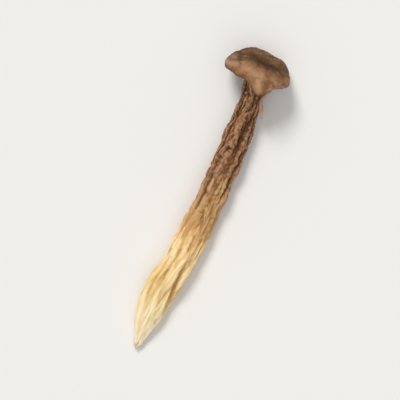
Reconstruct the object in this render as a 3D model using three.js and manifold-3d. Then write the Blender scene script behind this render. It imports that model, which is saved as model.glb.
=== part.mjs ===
// Dried deer antler mushroom, lying on its side on a flat surface.
//
// The whole mushroom grew as one body and dried as one body, so it is one solid. A long stem, flattened
// and deeply wrinkled by drying, tapers to a torn foot. At its other end it turns up into a small domed
// cap with a wavy, rolled-under margin and gills beneath it.
//
// Millimetres, +Z up. +Y runs along the stem from the foot to the cap. The origin is on the surface,
// under the middle of the mushroom.

import * as THREE from 'three';
import { mergeVertices } from 'three/addons/utils/BufferGeometryUtils.js';
import Module from 'manifold-3d';

const wasm = await Module();
wasm.setup();

const TURN = 2 * Math.PI;
const UP = new THREE.Vector3(0, 0, 1);
const degrees = THREE.MathUtils.degToRad;

// Driving dimensions

const STEM_LENGTH = 107; // from the torn foot to the cap's gills, most of it in the open
const STEM_IN_CAP = 1.4; // how much further it runs, into the cap's flesh
const CAP_RADIUS = 12.2; // before its lobes and its dents
const CAP_TILT = degrees(37); // how far the crown looks up from the stem's direction
const CAP_TURN = degrees(3); // how far the crown looks to the left of it
const CAP_CENTRE = new THREE.Vector3(-2.2, 107.8, 11.5); // middle of the cap, level with its margin
const PRESSED = 0.3; // how much of the lowest skin is pressed flat by lying on the surface

// The stem at even steps from the foot to the cap: its middle line and the half sizes of its section.
// Only the last step is longer, as the stem ends inside the cap.
const STEM = [
  { x: -1.6, z: 1.8, wide: 1.2, high: 0.9 },
  { x: -2.3, z: 3.1, wide: 4.7, high: 2.7 },
  { x: -2.1, z: 3.9, wide: 5.7, high: 3.6 },
  { x: 0.0, z: 4.3, wide: 5.3, high: 3.9 },
  { x: 0.5, z: 4.3, wide: 5.2, high: 3.8 },
  { x: 0.9, z: 4.5, wide: 4.8, high: 3.9 },
  { x: 0.9, z: 4.6, wide: 4.6, high: 3.6 },
  { x: 0.9, z: 5.1, wide: 4.7, high: 3.7 },
  { x: 0.3, z: 6.1, wide: 4.3, high: 3.4 },
  { x: -0.2, z: 7.9, wide: 3.7, high: 3.1 },
  { x: -2.1, z: 12.8, wide: 3.9, high: 3.0 },
];

// Lengthwise wrinkles, round ridges with a sharp furrow between them: how many go round the stem, how
// deep they are, how many times they swell and sink along it, and how far they wander sideways.
const STEM_TWIST = degrees(70);
const WRINKLES = [
  { count: 3, depth: 0.8, swells: 1.3, wander: 0.4, phase: 0.4 },
  { count: 7, depth: 1.0, swells: 2.3, wander: 0.6, phase: 1.7 },
  { count: 12, depth: 0.6, swells: 4.7, wander: 0.8, phase: 0.9 },
];
// The firm foot shrank less, so it has only this share of their depth, up to where the stem goes soft.
const FOOT_WRINKLES = 0.4;
const FIRM_UP_TO = 0.18; // shares of the length, here and below
const SOFT_FROM = 0.48;

// The deep folds that run along the stem and, below zero, a ridge: where each starts and ends as a share
// of the length and as an angle round it, its depth, and its half width as an angle.
const FOLDS = [
  { start: 0.12, end: 0.34, from: degrees(12), to: degrees(68), depth: 1.7, width: degrees(12) },
  { start: 0.11, end: 0.32, from: degrees(122), to: degrees(143), depth: 0.9, width: degrees(7) },
  { start: 0.19, end: 0.31, from: degrees(106), to: degrees(115), depth: 1.1, width: degrees(7) },
  { start: 0.4, end: 0.52, from: degrees(55), to: degrees(104), depth: 0.9, width: degrees(9) },
  { start: 0.58, end: 0.87, from: degrees(104), to: degrees(48), depth: 0.8, width: degrees(8) },
  { start: 0.68, end: 0.95, from: degrees(150), to: degrees(132), depth: 1.1, width: degrees(9) },
  { start: 0.2, end: 0.62, from: degrees(238), to: degrees(262), depth: 1.4, width: degrees(12) },
  { start: 0.5, end: 0.93, from: degrees(305), to: degrees(280), depth: 1.4, width: degrees(12) },
  { start: 0.42, end: 0.69, from: degrees(141), to: degrees(130), depth: -0.6, width: degrees(9) },
];

// Short pits and, below zero, knobs: the place along and round the stem, the half length and half width,
// the depth.
const PITS = [
  { t: 0.55, angle: degrees(112), long: 0.012, width: degrees(26), depth: 0.9 },
  { t: 0.715, angle: degrees(104), long: 0.01, width: degrees(24), depth: 0.8 },
  { t: 0.812, angle: degrees(172), long: 0.018, width: degrees(17), depth: 1.5 },
  { t: 0.846, angle: degrees(36), long: 0.016, width: degrees(15), depth: 1.5 },
  { t: 0.63, angle: degrees(20), long: 0.015, width: degrees(20), depth: 0.8 },
  { t: 0.37, angle: degrees(192), long: 0.014, width: degrees(20), depth: 0.8 },
  { t: 0.893, angle: degrees(118), long: 0.018, width: degrees(28), depth: -0.9 },
  { t: 0.785, angle: degrees(95), long: 0.013, width: degrees(20), depth: -0.6 },
  { t: 0.735, angle: degrees(100), long: 0.01, width: degrees(18), depth: -0.5 },
  { t: 0.69, angle: degrees(58), long: 0.018, width: degrees(20), depth: -0.5 },
  { t: 0.6, angle: degrees(75), long: 0.022, width: degrees(22), depth: -0.6 },
  { t: 0.56, angle: degrees(12), long: 0.02, width: degrees(25), depth: -0.8 },
  { t: 0.48, angle: degrees(265), long: 0.02, width: degrees(25), depth: -0.6 },
  { t: 0.425, angle: degrees(8), long: 0.018, width: degrees(22), depth: -0.5 },
  { t: 0.34, angle: degrees(160), long: 0.02, width: degrees(22), depth: -0.4 },
];

// The cap's section, from the crown over the margin and back under it, as a share of the radius and a
// height along the cap's own axis.
const CAP_SECTION = [
  { out: 0.0, up: 3.3 },
  { out: 0.28, up: 3.1 },
  { out: 0.55, up: 2.2 },
  { out: 0.8, up: 0.5 },
  { out: 0.96, up: -1.5 },
  { out: 1.0, up: -2.7 },
  { out: 0.94, up: -3.7 },
  { out: 0.86, up: -2.6 },
  { out: 0.72, up: -0.4 },
  { out: 0.4, up: 0.6 },
  { out: 0.05, up: -0.5 },
];

// Where the margin is drawn in and lifted or, below zero, drawn out and let down: the angle round the
// cap, from its right side towards the margin on the surface, and the half width.
const MARGIN_DENTS = [
  { angle: degrees(184), depth: -0.3, lift: -1.7, width: degrees(24) },
  { angle: degrees(216), depth: 1.5, lift: 0.9, width: degrees(20) },
  { angle: degrees(250), depth: 2.2, lift: 2.2, width: degrees(26) },
  { angle: degrees(285), depth: -0.8, lift: -0.3, width: degrees(12) },
  { angle: degrees(311), depth: 1.4, lift: 1.2, width: degrees(25) },
];

// The waves of the margin's outline, as shares of the radius.
const LOBES = [
  { count: 4, size: 0.025, phase: 4.4 },
  { count: 6, size: 0.015, phase: 2.2 },
];

// How the cap is warped along its axis: a bend of its whole width, a saddle, and waves that only the
// margin has.
const WARPS = [
  { count: 3, size: 0.4, power: 1, phase: 2.6 },
  { count: 2, size: 0.4, power: 2, phase: 1.6 },
  { count: 5, size: 0.45, power: 3, phase: -1.9 },
];

// On the upper skin only: the crease across the crown, bowed by this much, and the puckers round it.
const CREASE = { right: 2.0, far: -0.4, depth: 1.5, width: 1.7, length: 6.5, bow: 0.03 };
const PUCKERS = { count: 11, depth: 0.35, wander: 0.8 };

// The gills: long ones from the stem and short ones between them.
const GILL_COUNT = 52;
const GILL_THICKNESS = 0.6;
const GILL_DEPTH = 2.2;
const GILL_ROOT = 0.9; // how far each one is sunk into the flesh
const GILL_STEPS = 3;
const GILL_OUTER = 0.86; // shares of the cap's radius, here and below
const LONG_GILL_INNER = 0.3;
const SHORT_GILL_INNER = 0.58;

// The torn foot: how its rim is frayed, and the splinters that stick out of it, each a path whose first
// point is inside the foot.
const FRAY = [
  { count: 3, size: 0.8, phase: 0.5 },
  { count: 7, size: 0.5, phase: 2.0 },
];
const FRAY_REACH = 0.02; // the share of the stem that the fraying reaches
const SPLINTERS = [
  { path: [[-1.9, 3.0, 2.0], [-2.1, 0.4, 1.9], [-2.5, -1.1, 1.5]], wide: 1.1, thick: 0.8, tip: 0.5 },
  { path: [[-1.3, 3.0, 1.9], [-1.2, 0.0, 1.9], [-1.4, -1.9, 2.2]], wide: 1.0, thick: 0.8, tip: 0.4 },
];

// The strip of skin that still joins the margin to the neck. Its torn end stands off the neck.
const STRIP = {
  path: [
    [4.7, 103.6, 17.1],
    [4.6, 101.3, 15.2],
    [3.6, 98.9, 12.2],
    [3.1, 96.9, 9.4],
    [4.2, 94.3, 8.3],
    [5.9, 91.2, 8.1],
  ],
  wide: 1.1,
  thick: 0.8,
  tip: 1.3,
};
const TAPER_START = 0.6; // the share of a strand's length from which it narrows

const USUAL_STEM_RADIUS = 5.5; // where the depths of wrinkles, folds and pits are true millimetres
const FOLD_FADE = 0.06; // the share of the stem over which a fold starts and ends
const MEAN_RIDGE = 2 / Math.PI; // taken off a ridge's height, so that ridges don't thicken the stem

// Mesh fineness

const STEM_ROWS = 46;
const STEM_COLUMNS = 60;
const CROWN_ROWS = 14;
const UNDERSIDE_ROWS = 7;
const CAP_COLUMNS = 48;
const STRAND_ROWS = 9;
const STRAND_COLUMNS = 6;

// Shapes that are used more than once

// A smooth hill of height 1 at x = 0.
const hill = (x) => Math.exp(-x * x);

// The shortest way round from one angle to another.
const between = (angle, other) => Math.atan2(Math.sin(angle - other), Math.cos(angle - other));

// 1 inside start to end, fading to 0 over the given length at both.
function stretch(t, start, end, fade) {
  const begun = THREE.MathUtils.smoothstep(t, start, start + fade);
  const ended = THREE.MathUtils.smoothstep(t, end - fade, end);
  return begun * (1 - ended);
}

const smoothCurve = (places) =>
  new THREE.CatmullRomCurve3(places.map((place) => new THREE.Vector3(...place)), false, 'catmullrom');

// Shares from one value to another in even steps, without the last one.
const evenSteps = (from, to, steps) =>
  Array.from({ length: steps }, (_, i) => THREE.MathUtils.lerp(from, to, i / steps));

// The sum of waves round a circle.
const waveSum = (waves, angle) =>
  waves.reduce((sum, { count, size, phase }) => sum + size * Math.sin(count * angle + phase), 0);

// A closed surface from a ring of points at each share of the way along, with each end ring closed onto
// its own middle.
function closedSurface(shares, columns, pointAt) {
  const rows = shares.length - 1;
  const angles = evenSteps(0, TURN, columns);
  const points = shares.flatMap((share) => angles.map((angle) => pointAt(share, angle)));
  const ringMiddle = (first) =>
    points
      .slice(first, first + columns)
      .reduce((sum, p) => sum.add(p), new THREE.Vector3())
      .divideScalar(columns);
  const lastRing = rows * columns;
  points.push(ringMiddle(0), ringMiddle(lastRing));
  const startMiddle = points.length - 2;
  const endMiddle = points.length - 1;

  const faces = [];
  for (let j = 0; j < columns; j++) {
    const next = (j + 1) % columns;
    for (let i = 0; i < rows; i++) {
      const here = i * columns;
      const above = here + columns;
      faces.push(here + j, above + j, here + next);
      faces.push(here + next, above + j, above + next);
    }
    faces.push(startMiddle, j, next);
    faces.push(endMiddle, lastRing + next, lastRing + j);
  }
  return new THREE.BufferGeometry().setFromPoints(points).setIndex(faces);
}

// A geometry as a solid that can be joined and cut.
function solidOf(geometry) {
  const bare = new THREE.BufferGeometry().setAttribute('position', geometry.getAttribute('position'));
  bare.setIndex(geometry.getIndex());
  const merged = mergeVertices(bare, 1e-4);
  const mesh = new wasm.Mesh({
    numProp: 3,
    vertProperties: merged.getAttribute('position').array,
    triVerts: new Uint32Array(merged.getIndex().array),
  });
  return new wasm.Manifold(mesh);
}

function geometryOf(solid) {
  const { vertProperties, triVerts } = solid.getMesh();
  const geometry = new THREE.BufferGeometry();
  geometry.setAttribute('position', new THREE.BufferAttribute(vertProperties, 3));
  geometry.setIndex(new THREE.BufferAttribute(triVerts, 1));
  return geometry;
}

// The stem

const stemSteps = evenSteps(0, STEM_LENGTH, STEM.length - 1);
const stemPlaces = [...stemSteps, STEM_LENGTH + STEM_IN_CAP];
const stemMiddle = smoothCurve(STEM.map(({ x, z }, i) => [x, stemPlaces[i], z]));
const stemHalfSizes = smoothCurve(STEM.map(({ wide, high }) => [wide, high, 0]));

// How far the skin stands out of the plain section, t of the way along and at an angle round it.
function stemRelief(t, angle) {
  const twisted = angle + STEM_TWIST * t;
  const soft = THREE.MathUtils.smoothstep(t, FIRM_UP_TO, SOFT_FROM);
  const shrunk = THREE.MathUtils.lerp(FOOT_WRINKLES, 1, soft);
  let relief = 0;
  for (const { count, depth, swells, wander, phase } of WRINKLES) {
    const sway = wander * Math.sin(TURN * swells * t + 2 * angle + phase);
    const ridge = Math.abs(Math.sin((count * twisted) / 2 + sway + phase)) - MEAN_RIDGE;
    const swell = 0.7 + 0.3 * Math.sin(TURN * swells * t + angle + 2 * phase);
    relief += shrunk * depth * ridge * swell;
  }
  for (const { start, end, from, to, depth, width } of FOLDS) {
    const share = THREE.MathUtils.clamp((t - start) / (end - start), 0, 1);
    const centre = THREE.MathUtils.lerp(from, to, share);
    relief -= depth * stretch(t, start, end, FOLD_FADE) * hill(between(angle, centre) / width);
  }
  for (const pit of PITS) {
    relief -= pit.depth * hill((t - pit.t) / pit.long) * hill(between(angle, pit.angle) / pit.width);
  }
  return relief;
}

// The frayed rim of the foot reaches further out at some angles than at others.
const fray = (t, angle) => waveSum(FRAY, angle) * hill(t / FRAY_REACH);

// The columns of the mesh turn with the wrinkles, so that each ridge runs along a column.
function stemPoint(t, column) {
  const angle = column - STEM_TWIST * t;
  const middle = stemMiddle.getPoint(t);
  const { x: wide, y: high } = stemHalfSizes.getPoint(t);
  const along = stemMiddle.getTangent(t);
  const right = new THREE.Vector3().crossVectors(along, UP).normalize();
  const up = new THREE.Vector3().crossVectors(right, along);
  // The relief is a share of the section, so that the thin foot stays whole.
  const grown = 1 + stemRelief(t, angle) / USUAL_STEM_RADIUS;
  return middle
    .addScaledVector(right, wide * grown * Math.cos(angle))
    .addScaledVector(up, high * grown * Math.sin(angle))
    .addScaledVector(along, -fray(t, angle));
}

function stem() {
  return solidOf(closedSurface([...evenSteps(0, 1, STEM_ROWS), 1], STEM_COLUMNS, stemPoint));
}

// The cap

const capAxis = new THREE.Vector3(
  -Math.sin(CAP_TURN) * Math.cos(CAP_TILT),
  Math.cos(CAP_TURN) * Math.cos(CAP_TILT),
  Math.sin(CAP_TILT),
);
const capRight = new THREE.Vector3(Math.cos(CAP_TURN), Math.sin(CAP_TURN), 0);
const capFar = new THREE.Vector3().crossVectors(capAxis, capRight); // towards the margin on the surface
const capSection = smoothCurve(CAP_SECTION.map(({ out, up }) => [out, up, 0]));

// The sum of one measure of the margin's dents, which only the outer part of the cap has.
function dentSum(measure, out, angle) {
  const near = (dent) => hill(between(angle, dent.angle) / dent.width);
  const sum = MARGIN_DENTS.reduce((total, dent) => total + dent[measure] * near(dent), 0);
  return THREE.MathUtils.smoothstep(out, 0.15, 1) * sum;
}

// The radius in one direction of the circle, lobed and dented, that a share of the section lies on.
function capRadius(out, angle) {
  return out * (CAP_RADIUS * (1 + waveSum(LOBES, angle)) - dentSum('depth', out, angle));
}

// How far the cap's flesh is lifted along its axis.
function capLift(out, angle) {
  const warp = WARPS.reduce(
    (sum, { count, size, power, phase }) => sum + size * out ** power * Math.sin(count * angle + phase),
    0,
  );
  return warp + dentSum('lift', out, angle);
}

// How far the upper skin stands above the flesh.
function crownRelief(out, angle) {
  const right = CAP_RADIUS * out * Math.cos(angle) - CREASE.right;
  const far = CAP_RADIUS * out * Math.sin(angle) - CREASE.far;
  const crease = hill((far + CREASE.bow * right ** 2) / CREASE.width) * hill(right / CREASE.length);
  const wander = PUCKERS.wander * Math.sin(2 * angle);
  const pucker = Math.abs(Math.sin((PUCKERS.count * angle) / 2 + wander)) - MEAN_RIDGE;
  return PUCKERS.depth * out * pucker - CREASE.depth * crease;
}

// A point at a place in the cap's own axes.
function onCap(radius, angle, height) {
  return CAP_CENTRE.clone()
    .addScaledVector(capRight, radius * Math.cos(angle))
    .addScaledVector(capFar, radius * Math.sin(angle))
    .addScaledVector(capAxis, height);
}

// The share of the section that is upper skin: up to its widest point.
const widest = CAP_SECTION.findIndex(({ out }) => out === 1);
const UPPER_SHARE = widest / (CAP_SECTION.length - 1);

function capPoint(share, angle) {
  const { x: out, y: up } = capSection.getPoint(share);
  const upper = 1 - THREE.MathUtils.smoothstep(share, UPPER_SHARE - 0.12, UPPER_SHARE);
  const height = up + capLift(out, angle) + upper * crownRelief(out, angle);
  return onCap(capRadius(out, angle), angle, height);
}

function cap() {
  const upperRows = evenSteps(0, UPPER_SHARE, CROWN_ROWS);
  const lowerRows = evenSteps(UPPER_SHARE, 1, UNDERSIDE_ROWS);
  return solidOf(closedSurface([...upperRows, ...lowerRows, 1], CAP_COLUMNS, capPoint));
}

// The underside's height where it is a share of the radius out.
function undersideHeight(out, angle) {
  const under = CAP_SECTION.filter((point, i) => i > widest).reverse();
  const i = THREE.MathUtils.clamp(under.findIndex((point) => point.out > out), 1, under.length - 1);
  const [a, b] = [under[i - 1], under[i]];
  const up = THREE.MathUtils.mapLinear(out, a.out, b.out, a.up, b.up);
  return up + capLift(out, angle);
}

// One gill: a thin blade in a plane through the cap's axis, its root in the flesh. Its edge is arched and
// runs out to nothing at the margin.
function gill(angle, inner) {
  const root = [];
  const edge = [];
  for (let i = 0; i <= GILL_STEPS; i++) {
    const out = THREE.MathUtils.lerp(inner, GILL_OUTER, i / GILL_STEPS);
    const arch = Math.sin(Math.PI * THREE.MathUtils.lerp(0.2, 1, i / GILL_STEPS)) ** 0.7;
    const flesh = undersideHeight(out, angle);
    const radius = capRadius(out, angle);
    root.push(new THREE.Vector2(radius, flesh + GILL_ROOT));
    if (i < GILL_STEPS) edge.push(new THREE.Vector2(radius, flesh - GILL_DEPTH * arch));
  }
  const outline = new THREE.Shape([...edge, ...root.reverse()]);
  const blade = new THREE.ExtrudeGeometry(outline, { depth: GILL_THICKNESS, bevelEnabled: false });
  blade.translate(0, 0, -GILL_THICKNESS / 2);
  // The outline's X runs out from the cap's axis, its Y along the axis.
  const outward = onCap(1, angle, 0).sub(CAP_CENTRE);
  const sideways = new THREE.Vector3().crossVectors(outward, capAxis);
  blade.applyMatrix4(new THREE.Matrix4().makeBasis(outward, capAxis, sideways).setPosition(CAP_CENTRE));
  return solidOf(blade);
}

function gills() {
  return Array.from({ length: GILL_COUNT }, (_, i) =>
    gill((TURN * (i + 0.5)) / GILL_COUNT, i % 2 ? SHORT_GILL_INNER : LONG_GILL_INNER),
  );
}

// Small torn pieces

// A flat strand along a path, as wide as told for most of its length and narrower at its end.
function strand({ path, wide, thick, tip }) {
  const curve = smoothCurve(path);
  return solidOf(
    closedSurface([...evenSteps(0, 1, STRAND_ROWS), 1], STRAND_COLUMNS, (t, angle) => {
      const along = curve.getTangent(t);
      const right = new THREE.Vector3().crossVectors(along, UP).normalize();
      const up = new THREE.Vector3().crossVectors(right, along);
      const width = THREE.MathUtils.lerp(1, tip, THREE.MathUtils.smoothstep(t, TAPER_START, 1));
      return curve
        .getPoint(t)
        .addScaledVector(right, (wide / 2) * width * Math.cos(angle))
        .addScaledVector(up, (thick / 2) * Math.sin(angle));
    }),
  );
}

// The surface that the mushroom lies on, as a slab that is longer and wider than the mushroom.
function surface() {
  const thickness = 40;
  const slab = new THREE.BoxGeometry(200, 400, thickness);
  slab.translate(0, 0, PRESSED - thickness / 2);
  return solidOf(slab);
}

const pieces = [stem(), cap(), ...gills(), ...SPLINTERS.map(strand), strand(STRIP)];
const whole = pieces.reduce((joined, piece) => joined.add(piece)).subtract(surface());
const geometry = geometryOf(whole);
geometry.computeBoundingBox();
geometry.computeVertexNormals();

const mushroom = new THREE.Mesh(
  geometry,
  new THREE.MeshStandardMaterial({ color: 0xab8a5e, roughness: 0.88, metalness: 0 }),
);
mushroom.name = 'mushroom';
const box = geometry.boundingBox;
mushroom.position.set(-(box.min.x + box.max.x) / 2, -(box.min.y + box.max.y) / 2, -box.min.z);

const model = new THREE.Group();
model.add(mushroom);

export default model;
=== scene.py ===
# %% [markdown]
# # A dried deer antler mushroom
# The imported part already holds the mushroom's size and main form: a long wrinkled stem that lies on its
# side, a small cap with gills, and a torn foot. Blender adds what only a close look shows, so the same form
# is made again from the same numbers in a much finer mesh, with small wrinkles, marks and skin colours.

import bpy
import numpy as np
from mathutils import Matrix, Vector, noise


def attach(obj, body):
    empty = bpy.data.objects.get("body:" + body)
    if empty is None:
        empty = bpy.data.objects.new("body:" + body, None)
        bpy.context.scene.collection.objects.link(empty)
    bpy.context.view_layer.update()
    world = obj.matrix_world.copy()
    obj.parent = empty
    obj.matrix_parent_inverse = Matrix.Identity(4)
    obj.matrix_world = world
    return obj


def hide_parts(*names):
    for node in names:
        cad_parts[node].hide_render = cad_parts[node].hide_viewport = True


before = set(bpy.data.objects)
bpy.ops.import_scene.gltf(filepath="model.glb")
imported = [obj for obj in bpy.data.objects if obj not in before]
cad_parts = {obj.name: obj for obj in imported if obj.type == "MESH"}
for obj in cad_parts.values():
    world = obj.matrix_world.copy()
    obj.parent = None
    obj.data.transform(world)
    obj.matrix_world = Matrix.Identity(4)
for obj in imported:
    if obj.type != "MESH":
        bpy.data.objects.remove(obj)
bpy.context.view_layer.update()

# %% [markdown]
# ## Where the numbers start
# The numbers of the form are millimetres, and Y starts at the torn foot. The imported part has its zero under
# its middle instead, in metres. One shift and one factor take a point from the first to the second. The
# lowest skin is pressed flat where it lies on the surface.

# %% From the mushroom's own millimetres to the frame
TURN = 2 * np.pi
PRESSED = 0.3  # mm of the lowest skin that lying on the surface presses flat
PART_MIDDLE = np.array([-2.229, 55.934, PRESSED])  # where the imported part's zero is, mm


def in_frame(points):
    """Points in the mushroom's own millimetres, pressed flat on the surface, in the frame's metres."""
    points = np.array(points, float)
    points[..., 2] = np.maximum(points[..., 2], PRESSED)
    return (points - PART_MIDDLE) / 1000


# %% [markdown]
# ## Smooth steps, hills and curves
# Dried skin has few straight lines, so nearly everything is mixed from three plain shapes: a step with soft
# ends, a hill that fades on both sides, and a curve that runs through a few given places. They work on whole
# arrays of numbers, which is what keeps a mesh of 100,000 points quick.

# %% Smooth steps, hills and curves
def smoothstep(x, low, high):
    share = np.clip((x - low) / (high - low), 0, 1)
    return share * share * (3 - 2 * share)


def hill(x):
    return np.exp(-(x**2))


def hill_round(angle, centre, width):
    """A hill round a direction. Its centre and half width are in degrees."""
    away = angle - np.radians(centre)
    return hill(np.arctan2(np.sin(away), np.cos(away)) / np.radians(width))


def smooth_curve(places):
    """A function that gives the point at a share of the way along a curve through the places."""
    places = np.array(places, float)
    outer = np.vstack([2 * places[0] - places[1], places, 2 * places[-1] - places[-2]])

    def at(share):
        far = np.clip(share, 0, 1) * (len(places) - 1)
        i = np.minimum(far.astype(int), len(places) - 2)
        w = (far - i)[..., None]
        before, start, end, after = outer[i], outer[i + 1], outer[i + 2], outer[i + 3]
        leave, arrive = (end - before) / 2, (after - start) / 2
        return (
            start
            + w * leave
            + w**2 * (3 * end - 3 * start - 2 * leave - arrive)
            + w**3 * (2 * start - 2 * end + leave + arrive)
        )

    return at


CURVE_STEP = 1e-4  # share of a curve over which its direction is taken


def frame_along(curve, share):
    """The curve's direction at each share, and the level and the upright direction across it."""
    along = curve(np.minimum(share + CURVE_STEP, 1)) - curve(np.maximum(share - CURVE_STEP, 0))
    along /= np.linalg.norm(along, axis=-1, keepdims=True)
    right = np.cross(along, [0, 0, 1])
    right /= np.linalg.norm(right, axis=-1, keepdims=True)
    return along, right, np.cross(right, along)


# %% [markdown]
# ## Uneven skin from noise
# Waves alone look machined. Noise is a smooth random height that is the same on every run. Read with
# stretched coordinates, it gives fibres that run along the stem; folded where it crosses zero, it gives
# sharp furrows that meet and part again, as shrunken skin has.

# %% Noise over many points
SEED_STEP = np.array([17.3, 5.1, 9.7])  # how far apart two seeds read the noise, in lumps
USUAL_NOISE = 0.35  # how far from zero the noise mostly stays


def noise_at(points, size, seed):
    """Noise between about -1 and 1, with lumps of this size, at points in mm. size may differ by axis."""
    places = (np.reshape(points, (-1, 3)) / size + seed * SEED_STEP).tolist()
    return np.reshape([noise.noise(place) for place in places], np.shape(points)[:-1])


def furrows(points, size, seed):
    """Round ridges with sharp furrows between them, from -0.5 at the bottom to about 0.7."""
    return np.abs(noise_at(points, size, seed)) / USUAL_NOISE - 0.5


def wandering(points, size, reach, seed):
    """The points shifted by noise, so that what is read at them wanders."""
    return points + reach * np.stack([noise_at(points, size, seed + i) for i in range(3)], -1)


def round_rod(radius, angle, height):
    """Places round an upright rod. Noise read there meets itself all the way round."""
    return np.stack([radius * np.cos(angle), radius * np.sin(angle), height], -1)


# %% [markdown]
# ## The stem's plain form
# A fresh stem is a round, firm rod. Drying lets it collapse: it gets flatter, and its skin, now too large,
# folds lengthwise. The form is a middle line with a flattened section at eleven places, and a relief in
# millimetres on top of it, the sum of wrinkles all round, deep single folds and short pits.

# %% The stem's middle line and sections
STEM_LENGTH = 107  # from the foot to the cap's gills
STEM_IN_CAP = 1.4  # how much further it runs, into the cap's flesh
# x and z of the middle, then the half sizes of the section, from the foot to the cap
STEM = [
    (-1.6, 1.8, 1.2, 0.9),
    (-2.3, 3.1, 4.7, 2.7),
    (-2.1, 3.9, 5.7, 3.6),
    (0.0, 4.3, 5.3, 3.9),
    (0.5, 4.3, 5.2, 3.8),
    (0.9, 4.5, 4.8, 3.9),
    (0.9, 4.6, 4.6, 3.6),
    (0.9, 5.1, 4.7, 3.7),
    (0.3, 6.1, 4.3, 3.4),
    (-0.2, 7.9, 3.7, 3.1),
    (-2.1, 12.8, 3.9, 3.0),
]
stem_places = [STEM_LENGTH * i / (len(STEM) - 1) for i in range(len(STEM))]
stem_places[-1] += STEM_IN_CAP
stem_middle = smooth_curve([(x, place, z) for place, (x, z, _, _) in zip(stem_places, STEM)])
stem_half_sizes = smooth_curve([(wide, high) for _, _, wide, high in STEM])
print("sections along the stem:", len(STEM))

# %% The wrinkles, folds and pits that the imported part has
STEM_TWIST = np.radians(70)
USUAL_STEM_RADIUS = 5.5
MEAN_RIDGE = 2 / np.pi  # the mean of a folded sine wave
SWELLING = 0.3  # the share of its depth by which a wrinkle swells and fades
WRINKLES = [  # count round the stem, depth, swells along it, sideways wander, phase
    (3, 0.8, 1.3, 0.4, 0.4),
    (7, 1.0, 2.3, 0.6, 1.7),
    (12, 0.6, 4.7, 0.8, 0.9),
]
FOLDS = [  # start and end as shares of the length, from and to angles round it, depth, half width
    (0.12, 0.34, 12, 68, 1.7, 12),
    (0.11, 0.32, 122, 143, 0.9, 7),
    (0.19, 0.31, 106, 115, 1.1, 7),
    (0.4, 0.52, 55, 104, 0.9, 9),
    (0.58, 0.87, 104, 48, 0.8, 8),
    (0.68, 0.95, 150, 132, 1.1, 9),
    (0.2, 0.62, 238, 262, 1.4, 12),
    (0.5, 0.93, 305, 280, 1.4, 12),
    (0.42, 0.69, 141, 130, -0.6, 9),  # a ridge
]
FOOT_WRINKLES, FIRM_UP_TO, SOFT_FROM = 0.4, 0.18, 0.48  # the firm foot shrank less
PITS = [  # share of the length, angle, half length, half width, depth, which is below zero for a knob
    (0.55, 112, 0.012, 26, 0.9),
    (0.715, 104, 0.01, 24, 0.8),
    (0.812, 172, 0.018, 17, 1.5),
    (0.846, 36, 0.016, 15, 1.5),
    (0.63, 20, 0.015, 20, 0.8),
    (0.37, 192, 0.014, 20, 0.8),
    (0.893, 118, 0.018, 28, -0.9),
    (0.785, 95, 0.013, 20, -0.6),
    (0.735, 100, 0.01, 18, -0.5),
    (0.69, 58, 0.018, 20, -0.5),
    (0.6, 75, 0.022, 22, -0.6),
    (0.56, 12, 0.02, 25, -0.8),
    (0.48, 265, 0.02, 25, -0.6),
    (0.425, 8, 0.018, 22, -0.5),
    (0.34, 160, 0.02, 22, -0.4),
]
FOLD_FADE = 0.06


def stem_relief(t, angle):
    """How far the skin stands out of the plain section, mm."""
    relief = np.zeros(np.broadcast(t, angle).shape)
    twisted = angle + STEM_TWIST * t
    shrunk = FOOT_WRINKLES + (1 - FOOT_WRINKLES) * smoothstep(t, FIRM_UP_TO, SOFT_FROM)
    for count, depth, swells, wander, phase in WRINKLES:
        sway = wander * np.sin(TURN * swells * t + 2 * angle + phase)
        ridge = np.abs(np.sin(count * twisted / 2 + sway + phase)) - MEAN_RIDGE
        swell = 1 - SWELLING + SWELLING * np.sin(TURN * swells * t + angle + 2 * phase)
        relief += shrunk * depth * ridge * swell
    for start, end, first, last, depth, width in FOLDS:
        centre = first + (last - first) * np.clip((t - start) / (end - start), 0, 1)
        shown = smoothstep(t, start, start + FOLD_FADE) * (1 - smoothstep(t, end - FOLD_FADE, end))
        relief -= depth * shown * hill_round(angle, centre, width)
    for place, centre, length, width, depth in PITS:
        relief -= depth * hill((t - place) / length) * hill_round(angle, centre, width)
    return relief


# %% [markdown]
# ## The torn foot's rim
# The stem was pulled off its clump, not cut, so its rim is frayed. Waves round the rim push it out and in,
# and fade over the first few hundredths of the stem.

# %% A point on the stem
FRAY = [(3, 0.8, 0.5), (7, 0.5, 2.0)]  # count, size in mm, phase
FRAY_REACH = 0.02


def wave_sum(waves, angle):
    return sum(size * np.sin(count * angle + phase) for count, size, phase in waves)


def stem_point(t, angle, relief):
    """Points on the stem's skin, where the relief stands out as told."""
    along, right, up = frame_along(stem_middle, t)
    half = stem_half_sizes(t)
    grown = 1 + relief / USUAL_STEM_RADIUS
    across = (half[..., 0] * grown * np.cos(angle))[..., None] * right
    upward = (half[..., 1] * grown * np.sin(angle))[..., None] * up
    frayed = (wave_sum(FRAY, angle) * hill(t / FRAY_REACH))[..., None] * along
    return stem_middle(t) + across + upward - frayed


# %% [markdown]
# ## Marks that the photograph shows from above
# Stains, scars and small cracks sit at certain places. Each is a short line, seen from above, with a half
# width and a strength. Noise bends its edge, so that no mark looks stamped. The same list drives colour and
# depth: a scar is dark because it is a hole in the skin.

# %% How strongly a list of marks covers each point
MARK_BEND, MARK_WAVES = 0.5, 1.6  # how far noise moves a mark's edge, and the size of its lumps, mm
SHORTEST_MARK = 1e-6  # keeps a mark with no length from a division by zero


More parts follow.
